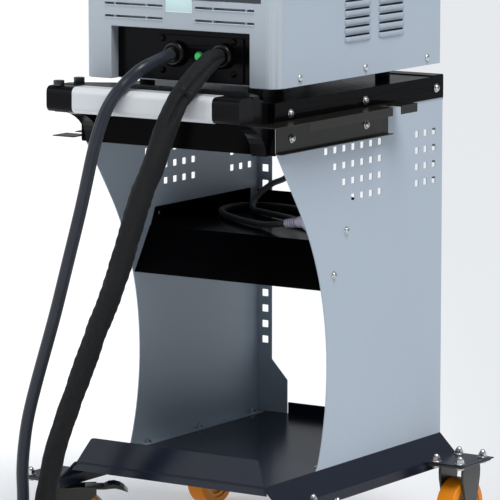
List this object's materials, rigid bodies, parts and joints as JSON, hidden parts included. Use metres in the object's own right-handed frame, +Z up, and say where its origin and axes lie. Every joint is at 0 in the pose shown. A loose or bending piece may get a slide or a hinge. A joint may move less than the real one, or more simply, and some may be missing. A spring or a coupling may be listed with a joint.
{
  "type": "spot welder on trolley",
  "caption": "Boxy welding power unit standing on a wheeled service trolley with perforated side panels, shelf, tray, push handle and two heavy output cables.",
  "frame": {"origin": "on the floor, under the middle of the trolley", "axes": "+Z up, -Y is the front with the push handle, +X to the right seen from the front"},
  "size_m": [0.7245, 1.084, 1.065],
  "materials": {
    "tray_paint": "gloss navy-black enamel",
    "panel_paint": "light blue-grey powder coat",
    "black_paint": "gloss black enamel",
    "black_plastic": "gloss black moulding",
    "grip_plastic": "pale grey satin sleeve",
    "knob_plastic": "black moulded knob",
    "zinc_steel": "bright zinc plate",
    "fork_steel": "dark plated steel",
    "hub_plastic": "orange moulded core",
    "tyre_orange": "orange polyurethane tread",
    "pedal_steel": "black plated steel",
    "foot_rubber": "black rubber foot",
    "bezel_plastic": "grey moulded plastic",
    "display_film": "dark printed film with no lettering",
    "gland_rubber": "black rubber",
    "led_green": "lit green lens",
    "fan_plastic": "black plastic",
    "switch_red": "red moulding",
    "button_grey": "pale grey push button",
    "button_green": "green push button",
    "core_steel": "laminated core steel",
    "copper": "copper",
    "board_green": "circuit board",
    "cable_rubber": "smooth blue-grey rubber sheath",
    "cable_sleeve": "black woven sleeve",
    "gun_plastic": "dark moulded shell",
    "mains_rubber": "black rubber sheath"
  },
  "bodies": {
    "root": {"base_tray": "tray_paint", "side_panel_left": "panel_paint", "side_panel_right": "panel_paint", "mid_shelf": "black_paint", "top_rail_left": "black_paint", "top_rail_right": "black_paint", "cross_plates": "black_paint", "hook_bracket_left": "black_paint", "hook_bracket_right": "black_paint", "handle_bar": "black_plastic", "handle_grip": "grip_plastic", "handle_arms": "black_plastic", "hook_pegs": "knob_plastic", "frame_screws": "zinc_steel", "tray_bolts": "zinc_steel", "caster_bolts": "zinc_steel", "rear_forks": "fork_steel", "rear_axles": "zinc_steel", "swivel_plates": "fork_steel", "machine_feet": "foot_rubber", "machine_base": "panel_paint", "machine_cover": "panel_paint", "front_bezel": "bezel_plastic", "control_panel": "display_film", "well_plate": "black_plastic", "connector_plate": "black_plastic", "cable_glands": "gland_rubber", "power_led": "led_green", "rear_panel": "panel_paint", "fan_frame": "fan_plastic", "transformer_core": "core_steel", "transformer_coils": "copper", "control_board": "board_green", "earth_cable": "cable_rubber", "earth_coil": "cable_rubber", "earth_lug": "copper", "gun_cable": "cable_sleeve", "gun_coil": "cable_sleeve", "gun_body": "gun_plastic", "mains_lead": "mains_rubber", "mains_coil_and_plug": "mains_rubber"},
    "wheel_rear_left": {"rear_wheel_hub_left": "hub_plastic", "rear_tyre_left": "tyre_orange"},
    "wheel_rear_right": {"rear_wheel_hub_right": "hub_plastic", "rear_tyre_right": "tyre_orange"},
    "swivel_left": {"front_fork_left": "fork_steel"},
    "swivel_right": {"front_fork_right": "fork_steel"},
    "wheel_front_left": {"front_wheel_hub_left": "hub_plastic", "front_tyre_left": "tyre_orange"},
    "wheel_front_right": {"front_wheel_hub_right": "hub_plastic", "front_tyre_right": "tyre_orange"},
    "brake_left": {"brake_pedal_left": "pedal_steel"},
    "brake_right": {"brake_pedal_right": "pedal_steel"},
    "fan": {"fan_rotor": "fan_plastic"},
    "rocker": {"mains_switch": "switch_red"},
    "knob_current": {"current_knob": "knob_plastic"},
    "knob_time": {"time_knob": "knob_plastic"},
    "button_mode": {"mode_button": "button_grey"},
    "button_start": {"start_button": "button_green"},
    "trigger": {"gun_trigger": "switch_red"}
  },
  "joints": [
    {"name": "rear_wheel_spin_left", "type": "hinge", "parent": "root", "child": "wheel_rear_left", "pos_m": [-0.242, 0.24325, 0.05], "axis": [1, 0, 0], "continuous": true},
    {"name": "rear_wheel_spin_right", "type": "hinge", "parent": "root", "child": "wheel_rear_right", "pos_m": [0.242, 0.24325, 0.05], "axis": [1, 0, 0], "continuous": true},
    {"name": "swivel_left", "type": "hinge", "parent": "root", "child": "swivel_left", "pos_m": [-0.242, -0.19775, 0.116], "axis": [0, 0, 1], "continuous": true},
    {"name": "front_wheel_spin_left", "type": "hinge", "parent": "swivel_left", "child": "wheel_front_left", "pos_m": [-0.21368, -0.17718, 0.05], "axis": [0.5878, -0.809, 0], "continuous": true},
    {"name": "brake_left", "type": "hinge", "parent": "swivel_left", "child": "brake_left", "pos_m": [-0.19427, -0.16307, 0.103], "axis": [-0.5878, 0.809, 0], "range_deg": [0, 6]},
    {"name": "swivel_right", "type": "hinge", "parent": "root", "child": "swivel_right", "pos_m": [0.242, -0.19775, 0.116], "axis": [0, 0, 1], "continuous": true},
    {"name": "front_wheel_spin_right", "type": "hinge", "parent": "swivel_right", "child": "wheel_front_right", "pos_m": [0.22557, -0.16685, 0.05], "axis": [0.8829, 0.4695, 0], "continuous": true},
    {"name": "brake_right", "type": "hinge", "parent": "swivel_right", "child": "brake_right", "pos_m": [0.2143, -0.14566, 0.103], "axis": [-0.8829, -0.4695, 0], "range_deg": [0, 6]},
    {"name": "fan_spin", "type": "hinge", "parent": "root", "child": "fan", "pos_m": [0.07, 0.26925, 0.955], "axis": [0, 1, 0], "continuous": true},
    {"name": "mains_rocker", "type": "hinge", "parent": "root", "child": "rocker", "pos_m": [-0.12, 0.28125, 0.895], "axis": [1, 0, 0], "range_deg": [-8, 8]},
    {"name": "current_turn", "type": "hinge", "parent": "root", "child": "knob_current", "pos_m": [-0.08, -0.21075, 0.955], "axis": [0, 1, 0], "range_deg": [-135, 135]},
    {"name": "time_turn", "type": "hinge", "parent": "root", "child": "knob_time", "pos_m": [0.08, -0.21075, 0.955], "axis": [0, 1, 0], "range_deg": [-135, 135]},
    {"name": "mode_press", "type": "slide", "parent": "root", "child": "button_mode", "axis": [0, 1, 0], "range_m": [0, 0.002], "stiffness_N_per_m": 400},
    {"name": "start_press", "type": "slide", "parent": "root", "child": "button_start", "axis": [0, 1, 0], "range_m": [0, 0.002], "stiffness_N_per_m": 400},
    {"name": "trigger_pull", "type": "slide", "parent": "root", "child": "trigger", "axis": [-0.866, -0.5, 0], "range_m": [0, 0.005], "stiffness_N_per_m": 300}
  ]
}
